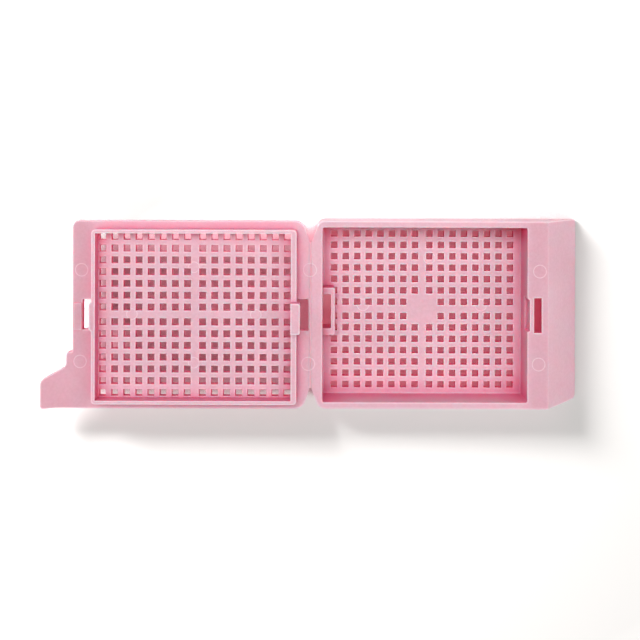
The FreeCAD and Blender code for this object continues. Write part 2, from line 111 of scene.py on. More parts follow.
# ---------------------------------------------------------------- working in edit mode
def begin(x, y, z, name):
    """A block between the given ends, with the edit mode open on it."""
    bpy.ops.object.select_all(action="DESELECT")
    bpy.ops.mesh.primitive_cube_add(size=1, location=[(a + b) / 2 for a, b in (x, y, z)])
    piece = bpy.context.object
    piece.name = name
    piece.data.name = name
    piece.scale = [b - a for a, b in (x, y, z)]
    bpy.ops.object.transform_apply(location=True, rotation=True, scale=True)
    bpy.ops.object.mode_set(mode="EDIT")
    return piece


def places(part):
    """Where the points of a face, an edge or a point are."""
    return [part.co] if isinstance(part, bmesh.types.BMVert) else [v.co for v in part.verts]


def inside(part, x=ANY, y=ANY, z=ANY):
    """True if the whole part lies in the box."""
    return all(low - TOUCH <= place[axis] <= high + TOUCH
               for place in places(part) for axis, (low, high) in enumerate((x, y, z)))


def choose(piece, kind, test):
    """Selects the faces, edges or points that pass the test, and nothing else."""
    bpy.ops.mesh.select_mode(type=kind)
    bpy.ops.mesh.select_all(action="DESELECT")
    mesh = bmesh.from_edit_mesh(piece.data)
    mesh.normal_update()
    parts = {"FACE": mesh.faces, "EDGE": mesh.edges, "VERT": mesh.verts}[kind]
    chosen = [part for part in parts if test(part)]
    for part in chosen:
        part.select_set(True)
    mesh.select_flush_mode()
    bmesh.update_edit_mesh(piece.data)
    return len(chosen)


def faces(piece, x=ANY, y=ANY, z=ANY, facing=None):
    """Selects the faces in the box, or those of them that face along a direction."""
    def test(face):
        return inside(face, x, y, z) and (facing is None or face.normal.dot(Vector(facing)) > FACES_ALONG)

    if not choose(piece, "FACE", test):
        raise RuntimeError(f"{piece.name} has no face there: {x} {y} {z}")


def points(piece, x=ANY, y=ANY, z=ANY):
    if not choose(piece, "VERT", lambda point: inside(point, x, y, z)):
        raise RuntimeError(f"{piece.name} has no point there: {x} {y} {z}")


def edges(piece, test):
    if not choose(piece, "EDGE", test):
        raise RuntimeError(f"{piece.name} has no such edge")


def upright(edge):
    a, b = places(edge)
    return abs(a.z - b.z) > max(abs(a.x - b.x), abs(a.y - b.y))


def slice_at(axis, place):
    """Cuts the selected faces across, at a place on an axis."""
    normal = [0.0, 0.0, 0.0]
    normal[axis] = 1.0
    bpy.ops.mesh.bisect(plane_co=[place * part for part in normal], plane_no=normal, threshold=TOUCH / 10)


def extrude(x=0.0, y=0.0, z=0.0):
    bpy.ops.mesh.extrude_region_move(TRANSFORM_OT_translate={"value": (x, y, z)})


def move(x=0.0, y=0.0, z=0.0):
    bpy.ops.transform.translate(value=(x, y, z))


def widen(factor):
    """Stretches the selection across the hinge line's middle, by a factor."""
    bpy.ops.transform.resize(value=(1, factor, 1), center_override=(0, 0, 0))


def round_edges(width, steps):
    bpy.ops.mesh.bevel(offset=width, segments=steps, affect="EDGES", profile=0.5, clamp_overlap=True)


def remove_faces():
    bpy.ops.mesh.delete(type="FACE")


def weld(piece):
    bpy.ops.mesh.select_mode(type="VERT")
    bpy.ops.mesh.select_all(action="SELECT")
    bpy.ops.mesh.remove_doubles(threshold=TOUCH * 2)


def cut_window(piece, x, y, z, facing, axes=(0, 1)):
    """Cuts lines round a window in the faces of a box, so that the window's own faces can be picked."""
    ends = (x, y, z)
    for axis in axes:
        for place in ends[axis]:
            def crossed(face, axis=axis, place=place):
                if face.normal.dot(Vector(facing)) < FACES_ALONG:
                    return False
                values = [p[axis] for p in places(face)]
                if not min(values) < place - TOUCH or not max(values) > place + TOUCH:
                    return False
                for other in range(3):
                    spans = [p[other] for p in places(face)]
                    low, high = ends[other]
                    if max(spans) < low - TOUCH or min(spans) > high + TOUCH:
                        return False
                    if other != axis and max(spans) - min(spans) > TOUCH:
                        if max(spans) <= low + TOUCH or min(spans) >= high - TOUCH:
                            return False
                return True

            if choose(piece, "FACE", crossed):
                slice_at(axis, place)


def sharp(edge, least=SHARP):
    return len(edge.link_faces) == 2 and edge.calc_face_angle(0.0) > least


# ---------------------------------------------------------------- flow holes
def lines(pitch, count, centre):
    """The centres of the holes along one direction, both ways from the centre rib."""
    half = [centre + (HALF_RIB + step) * pitch for step in range(count)]
    return sorted([2 * centre - place for place in half] + half)


def near_one(value, middles, reach):
    """True if the value is within reach of one of the middles."""
    return any(abs(value - middle) < reach for middle in middles)


def cut_holes(piece, columns, rows, top, bottom, bounds_x, bounds_y, keep):
    """Square holes from the top face to the bottom face, at the crossings for which keep is true."""
    for level, facing in ((top, UP), (bottom, DOWN)):
        cut_window(piece, bounds_x, bounds_y, (level, level), facing)
        for axis, middles in ((0, columns), (1, rows)):
            for middle in middles:
                for place in (middle - HOLE / 2, middle + HOLE / 2):
                    def crossed(face, axis=axis, place=place):
                        if not inside(face, bounds_x, bounds_y, (level, level)):
                            return False
                        values = [p[axis] for p in places(face)]
                        return min(values) < place - TOUCH and max(values) > place + TOUCH

                    if choose(piece, "FACE", crossed):
                        slice_at(axis, place)

    def opening(level):
        def test(face):
            if not inside(face, bounds_x, bounds_y, (level, level)):
                return False
            middle = face.calc_center_bounds()
            return (near_one(middle.x, columns, HOLE / 2) and near_one(middle.y, rows, HOLE / 2)
                    and keep(middle.x, middle.y))
        return test

    choose(piece, "FACE", opening(bottom))
    remove_faces()
    choose(piece, "FACE", opening(top))
    extrude(z=bottom - top)
    remove_faces()
    weld(piece)

    def rim(edge):
        flat = any(all(abs(p.z - level) < TOUCH for p in places(edge)) for level in (top, bottom))
        middle = sum(places(edge), Vector()) / 2
        beside = HOLE / 2 + TOUCH
        return (flat and sharp(edge, HOLE_EDGE) and bounds_x[0] < middle.x < bounds_x[1]
                and bounds_y[0] < middle.y < bounds_y[1] and keep(middle.x, middle.y)
                and near_one(middle.x, columns, beside) and near_one(middle.y, rows, beside))

    edges(piece, rim)
    round_edges(HOLE_BEVEL, 1)


def finish_piece(piece):
    """Drops faces with no area, closes edit mode, brings the piece into the frame and smooths its rounds."""
    bpy.ops.mesh.select_all(action="SELECT")
    bpy.ops.mesh.dissolve_degenerate(threshold=TOUCH)
    bpy.ops.object.mode_set(mode="OBJECT")
    piece.scale = (MM, MM, MM)
    piece.location = (HINGE_X, 0, 0)
    bpy.ops.object.transform_apply(location=True, rotation=True, scale=True)
    bpy.ops.object.shade_smooth_by_angle(angle=SMOOTH)
    bpy.ops.object.modifier_add(type="WEIGHTED_NORMAL")
    piece.modifiers[-1].keep_sharp = True
    bpy.ops.object.modifier_apply(modifier=piece.modifiers[-1].name)
    return piece


# ---------------------------------------------------------------- tray
def model_tray():
    piece = begin((REAR_FACE, LEDGE_EDGE), (-HALF_WIDTH, HALF_WIDTH), (0, RIM), "tray_moulding")

    # slanted writing face, and the sides' draft
    faces(piece, x=(LEDGE_EDGE, LEDGE_EDGE))
    extrude(x=FACE_FOOT - LEDGE_EDGE)
    points(piece, x=(FACE_FOOT, FACE_FOOT), z=(RIM, RIM))
    move(z=TOE - RIM)
    points(piece, z=(0, 0))
    widen(BASE_HALF_WIDTH / HALF_WIDTH)
    points(piece, x=(FACE_FOOT, FACE_FOOT), z=(TOE, TOE))
    toe_half_width = BASE_HALF_WIDTH + 0.01
    widen(toe_half_width / HALF_WIDTH)
    edges(piece, lambda e: upright(e) and inside(e, x=(REAR_FACE, REAR_FACE)))
    round_edges(1.2, 6)
    edges(piece, lambda e: upright(e) and inside(e, x=(FACE_FOOT, FACE_FOOT)))
    round_edges(0.65, 5)

    # the well
    level = (RIM, RIM)
    faces(piece, z=level, facing=UP)
    slice_at(0, WELL_START)
    faces(piece, x=(WELL_START, LEDGE_EDGE), z=level, facing=UP)
    slice_at(0, WELL_END)
    well_x = (WELL_START, WELL_END)
    for side in (-WELL_HALF_WIDTH, WELL_HALF_WIDTH):
        choose(piece, "FACE", lambda f: inside(f, x=well_x, z=level)
               and min(p.y for p in places(f)) < side < max(p.y for p in places(f)))
        slice_at(1, side)
    well_y = (-WELL_HALF_WIDTH, WELL_HALF_WIDTH)
    faces(piece, x=well_x, y=well_y, z=level, facing=UP)
    extrude(z=FLOOR - RIM)
    edges(piece, lambda e: upright(e) and inside(e, x=well_x, y=well_y)
          and abs(abs(places(e)[0].y) - WELL_HALF_WIDTH) < TOUCH)
    round_edges(0.25, 3)

    # bracket on the rear wall, open below, with a recess under the wall's lip
    bracket_end = 3.69
    bracket_half = 3.65
    bracket_top = 2.9
    shaft_end = 3.11
    shaft_half = 2.65
    lip = 4.5
    recess = 1.35
    on_floor = (FLOOR, FLOOR)
    on_bracket = (bracket_top, bracket_top)
    bracket_x = (WELL_START, bracket_end)
    bracket_y = (-bracket_half, bracket_half)
    shaft_y = (-shaft_half, shaft_half)
    cut_window(piece, bracket_x, bracket_y, on_floor, UP, (1, 0))
    faces(piece, x=bracket_x, y=bracket_y, z=on_floor, facing=UP)
    extrude(z=bracket_top - FLOOR)
    edges(piece, lambda e: upright(e) and inside(e, x=(bracket_end, bracket_end), y=bracket_y))
    round_edges(0.3, 3)
    rear_wall = (WELL_START, WELL_START)
    cut_window(piece, rear_wall, bracket_y, (FLOOR, bracket_top), (1, 0, 0), (1, 2))
    faces(piece, x=rear_wall, y=bracket_y, z=(FLOOR, bracket_top))
    remove_faces()
    weld(piece)
    cut_window(piece, rear_wall, shaft_y, (bracket_top, lip), (1, 0, 0), (2, 1))
    cut_window(piece, (WELL_START, shaft_end), shaft_y, on_bracket, UP)
    faces(piece, x=(WELL_START, shaft_end), y=shaft_y, z=on_bracket)
    extrude(z=-bracket_top)
    choose(piece, "FACE", lambda f: inside(f, x=rear_wall, y=shaft_y, z=(0, lip)))
    extrude(x=recess - WELL_START)

    # underside: the shaft's mouth, and the hollow under the ledge and the writing face
    underside = (0, 0)
    under_front_wall = 33.4
    faces(piece, x=(0, FACE_FOOT), z=underside, facing=DOWN)
    slice_at(0, under_front_wall)
    land_end = 4.4
    around_bracket = (-bracket_half - 0.1, bracket_half + 0.1)
    mouth_x = (recess, shaft_end)
    cut_window(piece, (recess, land_end), around_bracket, underside, DOWN)
    cut_window(piece, mouth_x, shaft_y, underside, DOWN)
    faces(piece, x=mouth_x, y=shaft_y, z=underside, facing=DOWN)
    slice_at(0, WELL_START)
    faces(piece, x=mouth_x, y=shaft_y, z=underside)
    remove_faces()
    weld(piece)
    hollow_start = 33.95
    hollow_half = BASE_HALF_WIDTH - 1.0
    hollow_bend = 35.758
    hollow_foot = 40.517
    ceiling = RIM - 1.0
    hollow_x = (hollow_start, hollow_foot)
    hollow_y = (-hollow_half, hollow_half)
    cut_window(piece, hollow_x, hollow_y, underside, DOWN)
    faces(piece, x=hollow_x, y=hollow_y, z=underside)
    slice_at(0, hollow_bend)
    faces(piece, x=hollow_x, y=hollow_y, z=underside)
    extrude(z=ceiling)
    points(piece, x=(hollow_foot, hollow_foot), z=(ceiling, ceiling))
    move(z=-ceiling)
    weld(piece)

    # slot through the ledge and catch notch in the wall, in a patch of the ledge cut free for them
    patch_x = (WELL_END, 35.7)
    patch_y = (-3.2, 3.2)
    between_them = 33.6
    notch = 33.32
    notch_half = 2.55
    notch_foot = RIM - 1.95
    notch_taper = 0.92
    slot_x = (hollow_start, 35.1)
    slot_y = (-2.65, 2.65)
    notch_y = (-notch_half, notch_half)
    cut_window(piece, patch_x, patch_y, level, UP, (1, 0))
    faces(piece, x=patch_x, y=patch_y, z=level, facing=UP)
    slice_at(0, between_them)
    cut_window(piece, (WELL_END, notch), notch_y, level, UP)
    cut_window(piece, slot_x, slot_y, level, UP)
    cut_window(piece, slot_x, slot_y, (ceiling, ceiling), DOWN)
    faces(piece, x=slot_x, y=slot_y, z=(ceiling, ceiling))
    remove_faces()
    faces(piece, x=slot_x, y=slot_y, z=level)
    extrude(z=ceiling - RIM)
    remove_faces()
    weld(piece)
    front_wall = (WELL_END, WELL_END)
    cut_window(piece, front_wall, notch_y, (notch_foot, RIM), (-1, 0, 0), (2, 1))
    faces(piece, x=(WELL_END, notch), y=notch_y, z=level)
    extrude(z=notch_foot - RIM)
    faces(piece, x=front_wall, y=notch_y, z=(notch_foot, RIM))
    remove_faces()
    weld(piece)
    points(piece, x=(notch, notch), y=notch_y, z=(notch_foot, RIM))
    widen(notch_taper)

    # strip behind the rear wall, thinned towards the web
    strip_foot = RIM - STRIP_DEPTH
    strip_z = (strip_foot, RIM)
    between_corners = (-13.37, 13.37)

    def rear_face(face):
        return inside(face, x=(REAR_FACE, 1.0), y=between_corners) and face.normal.x < -FACES_ALONG

    choose(piece, "FACE", lambda f: rear_face(f) and min(p.z for p in places(f)) < strip_foot - TOUCH)
    slice_at(2, strip_foot)
    choose(piece, "FACE", lambda f: rear_face(f) and inside(f, z=strip_z))
    extrude(x=WEB_HALF - REAR_FACE)
    strip_end = (0, 0.3)
    points(piece, x=strip_end, z=strip_z)
    widen(WEB_HALF_LENGTH / STRIP_HALF_LENGTH)
    points(piece, x=strip_end, z=(strip_foot, strip_foot))
    move(z=STRIP_DEPTH - WEB_THICKNESS)

    # round round the well's floor, and small rounds on all the edges that a hand meets
    def floor_edge(edge):
        if not inside(edge, z=on_floor) or not sharp(edge):
            return False
        middle = sum(places(edge), Vector()) / 2
        return not (middle.x < bracket_end + 0.01 and abs(middle.y) < bracket_half + 0.01)

    edges(piece, floor_edge)
    round_edges(0.3, 3)
    edges(piece, lambda e: sharp(e) and inside(e, x=well_x, y=well_y, z=level))
    round_edges(0.2, 3)
    edges(piece, lambda e: e.is_convex and sharp(e) and not inside(e, x=strip_end))
    round_edges(EASED, 2)

    # flow holes, with the four at the centre left solid, and none under the bracket
    centre = (WELL_START + WELL_END) / 2
    along, across = TRAY_PITCH
    columns = lines(along, HALF_COLUMNS, centre)
    rows = lines(across, HALF_ROWS, 0.0)
    land_half = 3.6

    def holed(x, y):
        return not (abs(x - centre) < along and abs(y) < across) and not (x < land_end and abs(y) < land_half)

    cut_holes(piece, columns, rows, FLOOR, 0.0, (2.9, 31.7), (-12.6, 12.6), holed)

    # beside the bracket the first column is narrower
    column_end = columns[0] + HOLE / 2
    for row in (place for place in rows if abs(place) < land_half):
        sliver = ((bracket_end + 0.06, column_end), (row - HOLE / 2, row + HOLE / 2))
        cut_window(piece, *sliver, on_floor, UP)
        cut_window(piece, *sliver, underside, DOWN)
        faces(piece, *sliver, underside)
        remove_faces()
        faces(piece, *sliver, on_floor)
        extrude(z=-FLOOR)
        remove_faces()
        weld(piece)
    return finish_piece(piece)


# ---------------------------------------------------------------- lid
def model_lid():
    notch_x = -1.1
    piece = begin((LID_END, notch_x), (-HALF_WIDTH, HALF_WIDTH), (LID_UNDERSIDE, RIM), "lid_moulding")
    plate = (LID_UNDERSIDE, RIM)
    level = (RIM, RIM)

    # plate narrowed and thinned towards the web
    faces(piece, x=(notch_x, notch_x))
    extrude(x=-WEB_HALF - notch_x)
    web_edge = (-WEB_HALF, -WEB_HALF)
    points(piece, x=web_edge)
    widen(WEB_HALF_LENGTH / HALF_WIDTH)
    points(piece, x=web_edge, z=(LID_UNDERSIDE, LID_UNDERSIDE))
    move(z=(RIM - WEB_THICKNESS) - LID_UNDERSIDE)

    # thumb tab at one corner: a step, a sloping shoulder, and a tip bent up
    step_y = -5.75
    shoulder_y = -7.92
    step_x = LID_END - 0.98
    bend_x = LID_END - 2.4
    tip_x = LID_END - 4.75
    tip_y = -9.93
    tip_rise = 0.6
    end_face = (LID_END, LID_END)
    faces(piece, x=end_face)
    slice_at(1, step_y)
    faces(piece, x=end_face, y=(-HALF_WIDTH, step_y))
    extrude(x=step_x - LID_END)
    faces(piece, x=(step_x, step_x))
    slice_at(1, shoulder_y)
    faces(piece, x=(step_x, step_x), y=(-HALF_WIDTH, shoulder_y))
    extrude(x=bend_x - step_x)
    points(piece, x=(bend_x, bend_x), y=(shoulder_y, shoulder_y))
    along = (bend_x - step_x) / (tip_x - step_x)
    move(y=(tip_y - shoulder_y) * along)
    faces(piece, x=(bend_x, bend_x))
    extrude(x=tip_x - bend_x)
    points(piece, x=(tip_x, tip_x), y=(-13, 0))
    move(y=(tip_y - shoulder_y) * (1 - along))
    points(piece, x=(tip_x, tip_x))
    move(z=tip_rise)

    # upright corners
    def corner(x, y):
        return lambda e: upright(e) and all(abs(p.x - x) < TOUCH and abs(p.y - y) < TOUCH for p in places(e))

    for x, y, radius in ((notch_x, HALF_WIDTH, 1.3), (notch_x, -HALF_WIDTH, 1.3), (LID_END, HALF_WIDTH, 1.0),
                         (LID_END, step_y, 0.25), (step_x, step_y, 0.4), (step_x, shoulder_y, 0.6),
                         (tip_x, tip_y, 0.6), (tip_x, -HALF_WIDTH, 0.4)):
        edges(piece, corner(x, y))
        round_edges(radius, 5)

    # soft crease where the tip bends
    edges(piece, lambda e: inside(e, (bend_x, bend_x), ANY, level))
    round_edges(0.12, 1)

    # frame that sits inside the tray
    frame_x = (FRAME_FRONT, FRAME_REAR)
    frame_y = (-FRAME_HALF_WIDTH, FRAME_HALF_WIDTH)
    inner_x = (FRAME_INNER_FRONT, FRAME_INNER_REAR)
    inner_y = (-FRAME_INNER_HALF_WIDTH, FRAME_INNER_HALF_WIDTH)
    cut_window(piece, frame_x, frame_y, level, UP)
    cut_window(piece, inner_x, inner_y, level, UP)
    choose(piece, "FACE", lambda f: inside(f, frame_x, frame_y, level)
           and not inside(f, inner_x, inner_y, level))
    extrude(z=FRAME_HEIGHT)
    edges(piece, lambda e: upright(e) and inside(e, frame_x, frame_y)
          and near_one(places(e)[0].x, frame_x, TOUCH) and near_one(places(e)[0].y, frame_y, TOUCH))
    round_edges(0.6, 4)

    # slots in the plate under each hook
    rear_slot = ((FRAME_REAR, -0.3), (-2.4, 2.4))
    front_slot = ((-34.6, FRAME_FRONT), (-2.3, 2.3))
    thinned = (RIM - WEB_THICKNESS - LID_UNDERSIDE) / (-WEB_HALF - notch_x)
    for slot_x, slot_y in (rear_slot, front_slot):
        cut_window(piece, slot_x, slot_y, level, UP)
        cut_window(piece, slot_x, slot_y, plate, DOWN)
        cut_window(piece, slot_x, slot_y, plate, Vector((thinned, 0, -1)).normalized())
        choose(piece, "FACE", lambda f: inside(f, slot_x, slot_y, plate) and f.normal.z < -0.5)
        remove_faces()
        faces(piece, slot_x, slot_y, level, UP)
        extrude(z=LID_UNDERSIDE - RIM)
        remove_faces()
        if slot_x[1] > notch_x:
            points(piece, (slot_x[1], slot_x[1]), slot_y, (LID_UNDERSIDE, LID_UNDERSIDE))
            move(z=thinned * (slot_x[1] - notch_x))
        weld(piece)

    # rear hook: a tower on the frame with a barb towards the hinge
    rear_wall = ((FRAME_INNER_REAR, FRAME_REAR), (-2.3, 2.3))
    frame_top = RIM + FRAME_HEIGHT
    hook_top = RIM + HOOK_HEIGHT
    rear_reach = 0.55
    cut_window(piece, *rear_wall, (frame_top, frame_top), UP, (1,))
    faces(piece, *rear_wall, (frame_top, frame_top), UP)
    extrude(z=hook_top - frame_top)
    faces(piece, (FRAME_REAR, FRAME_REAR), rear_wall[1], (frame_top, hook_top))
    extrude(x=rear_reach)
    barb = FRAME_REAR + rear_reach
    edges(piece, lambda e: upright(e) and inside(e, (barb, barb)))
    round_edges(0.3, 3)

    # front hook: a barb level with the frame's top, with cut corners
    far_face = (FRAME_FRONT, FRAME_FRONT)
    barb_y = (-2.2, 2.2)
    barb_z = (frame_top - 0.9, frame_top)
    cut_window(piece, far_face, barb_y, barb_z, (-1, 0, 0), (1, 2))
    faces(piece, far_face, barb_y, barb_z, (-1, 0, 0))
    barb = -33.15
    extrude(x=barb - FRAME_FRONT)
    edges(piece, lambda e: upright(e) and inside(e, (barb, barb)))
    round_edges(0.35, 1)

    # low pad on the border beside the front slot
    pad = ((-35.92, -34.68), (-2.4, 1.75))
    pad_height = 0.13
    pad_z = (RIM, RIM + pad_height)
    pad_top = (RIM + pad_height, RIM + pad_height)
    cut_window(piece, *pad, level, UP)
    faces(piece, *pad, level, UP)
    extrude(z=pad_height)

    def outer_edge(edge):
        if not (edge.is_convex and sharp(edge)):
            return False
        return not inside(edge, x=(-0.3, 0)) and not inside(edge, *pad, pad_z)

    edges(piece, outer_edge)
    round_edges(EASED, 2)
    edges(piece, lambda e: e.is_convex and sharp(e) and inside(e, *pad, pad_top))
    round_edges(EASED, 2)

    # flow holes, centred between the frame's walls
    along, across = LID_PITCH
    columns = lines(along, HALF_COLUMNS, -17.525)
    rows = lines(across, HALF_ROWS, 0.0)
    cut_holes(piece, columns, rows, RIM, LID_UNDERSIDE, inner_x, inner_y, lambda x, y: True)
    return finish_piece(piece)


# ---------------------------------------------------------------- web of the living hinge
def model_web():
    """A thin strip with a faint groove along it, in enough slices to bend into a loop."""
    web_y = (-WEB_HALF_LENGTH, WEB_HALF_LENGTH)
    piece = begin((-WEB_HALF, WEB_HALF), web_y, (RIM - WEB_THICKNESS, RIM), "hinge_web")
    slices = 10
    groove = 0.01
    for step in range(1, slices):
        bpy.ops.mesh.select_all(action="SELECT")
        slice_at(0, WEB_HALF * (2 * step / slices - 1))
    points(piece, (-WEB_HALF / 2, WEB_HALF / 2), ANY, (RIM, RIM))
    move(z=-groove)
    return finish_piece(piece)


# ---------------------------------------------------------------- finishes
ROOM_LIGHT = (1.0, 0.995, 0.985)


class Finish:
    """A new material, and short ways to add nodes to it and to join them."""

    def __init__(self, name):
        self.material = bpy.data.materials.new(name)
        self.material.use_nodes = True
        self.tree = self.material.node_tree
        self.shader = self.tree.nodes["Principled BSDF"]
        self.coordinates = self.add("TexCoord")

    def feed(self, socket, value):
        """Joins an output to a socket, or sets the socket's own number, direction or colour."""
        if isinstance(value, bpy.types.NodeSocket):
            self.tree.links.new(value, socket)
        elif socket.type == "RGBA":
            socket.default_value = (*value, 1)
        else:
            socket.default_value = value

    def fill(self, node, values):
        """Feeds a node's sockets by their names."""
        for name, value in values.items():
            self.feed(node.inputs[name], value)
        return node

    def add(self, kind, values=None, **settings):
        """A new node. Its settings come first, because they decide which sockets it has."""
        node = self.tree.nodes.new("ShaderNode" + kind)
        for name, setting in settings.items():
            setattr(node, name, setting)
        return self.fill(node, values or {})

    def work_out(self, kind, operation, *values):
        """Feeds the values to the sockets that the operation uses, and gives its result."""
        node = self.add(kind, operation=operation)
        for socket, value in zip([socket for socket in node.inputs if socket.enabled], values):
            self.feed(socket, value)
        return next(output for output in node.outputs if output.enabled)

    def maths(self, operation, *values):
        return self.work_out("Math", operation, *values)

    def vector(self, operation, *values):
        return self.work_out("VectorMath", operation, *values)

    def spread(self, value, low, high, out_low=0.0, out_high=1.0):
        """Brings a value that lies between low and high to between the other two."""
        node = self.add("MapRange", {"Value": value, "From Min": low, "From Max": high,
                                     "To Min": out_low, "To Max": out_high})
        return node.outputs["Result"]

    def between(self, first, second, factor):
        """A mix of two colours."""
        node = self.add("Mix", {"A": first, "B": second, "Factor": factor}, data_type="RGBA")
        return node.outputs["Result"]

    def openness(self, reach, samples, values=None, **settings):
        """How open the place is within reach: 1 in free air, 0 where it is closed in all round."""
        values = {"Distance": reach, **(values or {})}
        node = self.add("AmbientOcclusion", values, samples=samples, **settings)
        return node.outputs["AO"]



# round marks that the mould's ejector pins leave on the ledge, across the hinge, in the well, inside the lid's
# frame and on its border: the centre's x and y, and the radius
PIN_MARKS = (
    (34.81, 6.68, 0.97), (34.64, -7.43, 0.97),
    (-0.1, 6.83, 1.0), (-0.35, -7.43, 1.0),
    (18.51, 8.0, 0.9), (8.1, 0.6, 0.9), (26.6, 0.6, 0.9),
    (-17.7, 7.2, 0.8), (-27.1, 0.05, 0.8), (-8.3, 0.0, 0.8), (-17.7, -7.3, 0.8),
    (-34.95, -7.15, 0.95), (-34.75, 6.75, 0.95),
)


def moulded_pink(name, deep, pale, shade_crimson, painted_edge_highlight):
    """Matte acetal with subsurface scattering that sends light back redder; holes, corners and inner walls get
    painted crimson shade, outer edges that look up a painted highlight, and the fine spark texture of the
    mould breaks up the shine."""
    pink = Finish(name)
    maths, spread, between = pink.maths, pink.spread, pink.between
    place = pink.coordinates.outputs["Object"]
    looks_up = pink.add("SeparateXYZ", {"Vector": pink.coordinates.outputs["Normal"]}).outputs["Z"]
    air_reach = 4.5 * MM
    wall_reach = 0.3 * MM
    roughness = 0.5
    roughness_swing = 0.08

    def noise(scale, detail):
        return pink.add("TexNoise", {"Vector": place, "Scale": scale, "Detail": detail}).outputs["Fac"]

    def darker(colour):
        return tuple(part * share for part, share in zip(colour, (0.93, 0.86, 0.88)))

    # the pin marks: fine raised rings on the faces that look up
    ring_width = 0.1 * MM
    on_plan = pink.vector("MULTIPLY", place, (1, 1, 0))
    marks = None
    for x, y, radius in PIN_MARKS:
        away = pink.vector("DISTANCE", on_plan, (HINGE_X + x * MM, y * MM, 0))
        off_ring = maths("ABSOLUTE", maths("SUBTRACT", away, radius * MM))
        mark = spread(off_ring, 0.0, ring_width, 1.0, 0.0)
        marks = mark if marks is None else maths("MAXIMUM", marks, mark)
    marks = maths("MULTIPLY", marks, spread(looks_up, 0.5, 0.9))

    # a soft mottle; the faces that look up on the ledge and the tab are a little darker
    cloud = noise(90, 3)
    speck = noise(2600, 2)
    mottle = spread(maths("ADD", cloud, speck), 0.7, 1.3)
    along = pink.add("SeparateXYZ", {"Vector": place}).outputs["X"]
    off_web = maths("ABSOLUTE", maths("SUBTRACT", along, HINGE_X))
    at_ends = maths("MULTIPLY", spread(looks_up, 0.8, 0.98), spread(off_web, 32.5 * MM, 34.0 * MM))
    mottled = between(between(deep, pale, mottle), between(darker(deep), darker(pale), mottle), at_ends)

    # painted highlight: outer edges on the faces that look up are drawn lighter, as if they caught more light
    solid = pink.openness(wall_reach, 6, inside=True, only_local=True)
    upward = maths("MULTIPLY", spread(looks_up, 0.1, 0.6), spread(off_web, 0.5 * MM, 0.9 * MM))
    edge = maths("MULTIPLY", spread(solid, 0.6, 0.95, painted_edge_highlight, 0.0), upward)
    highlighted = between(mottled, (0.98, 0.84, 0.90), edge)
    marked = between(highlighted, (0.97, 0.82, 0.88), maths("MULTIPLY", marks, 0.65))

    # painted shade: holes, corners and inner walls go to crimson, standing in for the shade there and the red
    # light that the plastic lets into them
    air = pink.openness(air_reach, 6, only_local=True)
    wall = spread(maths("ABSOLUTE", looks_up), 0.3, 0.8, 1.0, 0.0)
    inner_wall = maths("MULTIPLY", maths("MULTIPLY", wall, 0.55), spread(air, 0.88, 1.0, 1.0, 0.0))
    openness = maths("MULTIPLY", spread(air, 0.35, 0.82), maths("SUBTRACT", 1.0, inner_wall))
    painted_recess_shade = between((0.8, 0.27, 0.46), shade_crimson, wall)
    painted_crease_shade = between((0.66, 0.07, 0.2), painted_recess_shade, spread(air, 0.15, 0.45))
    colour = between(painted_crease_shade, marked, openness)

    height = maths("ADD", speck, maths("MULTIPLY", marks, 1.5))
    bump = pink.add("Bump", {"Height": height, "Strength": 0.35, "Distance": 0.04 * MM})
    pink.fill(pink.shader, {
        "Base Color": colour,
        "Roughness": spread(speck, 0.0, 1.0, roughness - roughness_swing, roughness + roughness_swing),
        "IOR": 1.48,
        "Specular IOR Level": 0.8,
        "Subsurface Weight": 1.0,
        "Subsurface Radius": (1.0, 0.35, 0.45),
        "Subsurface Scale": 0.4 * MM,
        "Normal": bump.outputs["Normal"],
    })

    # some light comes straight through, most of it where the plastic is closed in
    through = pink.add("BsdfTranslucent", {"Color": (0.95, 0.2, 0.33)})
    both = pink.add("MixShader", {"Fac": spread(openness, 0.0, 1.0, 0.4, 0.06)})
    pink.feed(both.inputs[1], pink.shader.outputs["BSDF"])
    pink.feed(both.inputs[2], through.outputs["BSDF"])
    pink.feed(pink.tree.nodes["Material Output"].inputs["Surface"], both.outputs["Shader"])
    return pink.material


tray = model_tray()
lid = model_lid()
web = model_web()

pink = moulded_pink("pink_acetal", deep=(0.74, 0.43, 0.525), pale=(0.81, 0.505, 0.605),
                    shade_crimson=(0.99, 0.28, 0.51), painted_edge_highlight=0.75)
# painted light: the web gets a redder, brighter copy of the pink, to offset the shade that its thin strip
# shows, and no painted edge highlight
lightened_web = moulded_pink("lightened_web_pink", deep=(0.97, 0.43, 0.53), pale=(0.99, 0.46, 0.56),
                      shade_crimson=(0.99, 0.3, 0.45), painted_edge_highlight=0.0)
for piece, body, node in ((tray, "tray", "tray"), (lid, "lid", "lid")):
    piece.data.materials.append(pink)
    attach(piece, body)
    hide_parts(node)
web.data.materials.append(lightened_web)
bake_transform(web)
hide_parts("living_hinge")


# ---------------------------------------------------------------- floor, light and camera
# painted shade and red light on the paper: its colour by how open it is to the light, from closed in to free
PAINTED_PAPER_SHADE = (
    (0.4, (0.97, 0.66, 0.74)),
    (0.55, (0.56, 0.26, 0.32)),
    (0.742, (0.53, 0.285, 0.33)),
    (0.795, (0.93, 0.922, 0.915)),
)


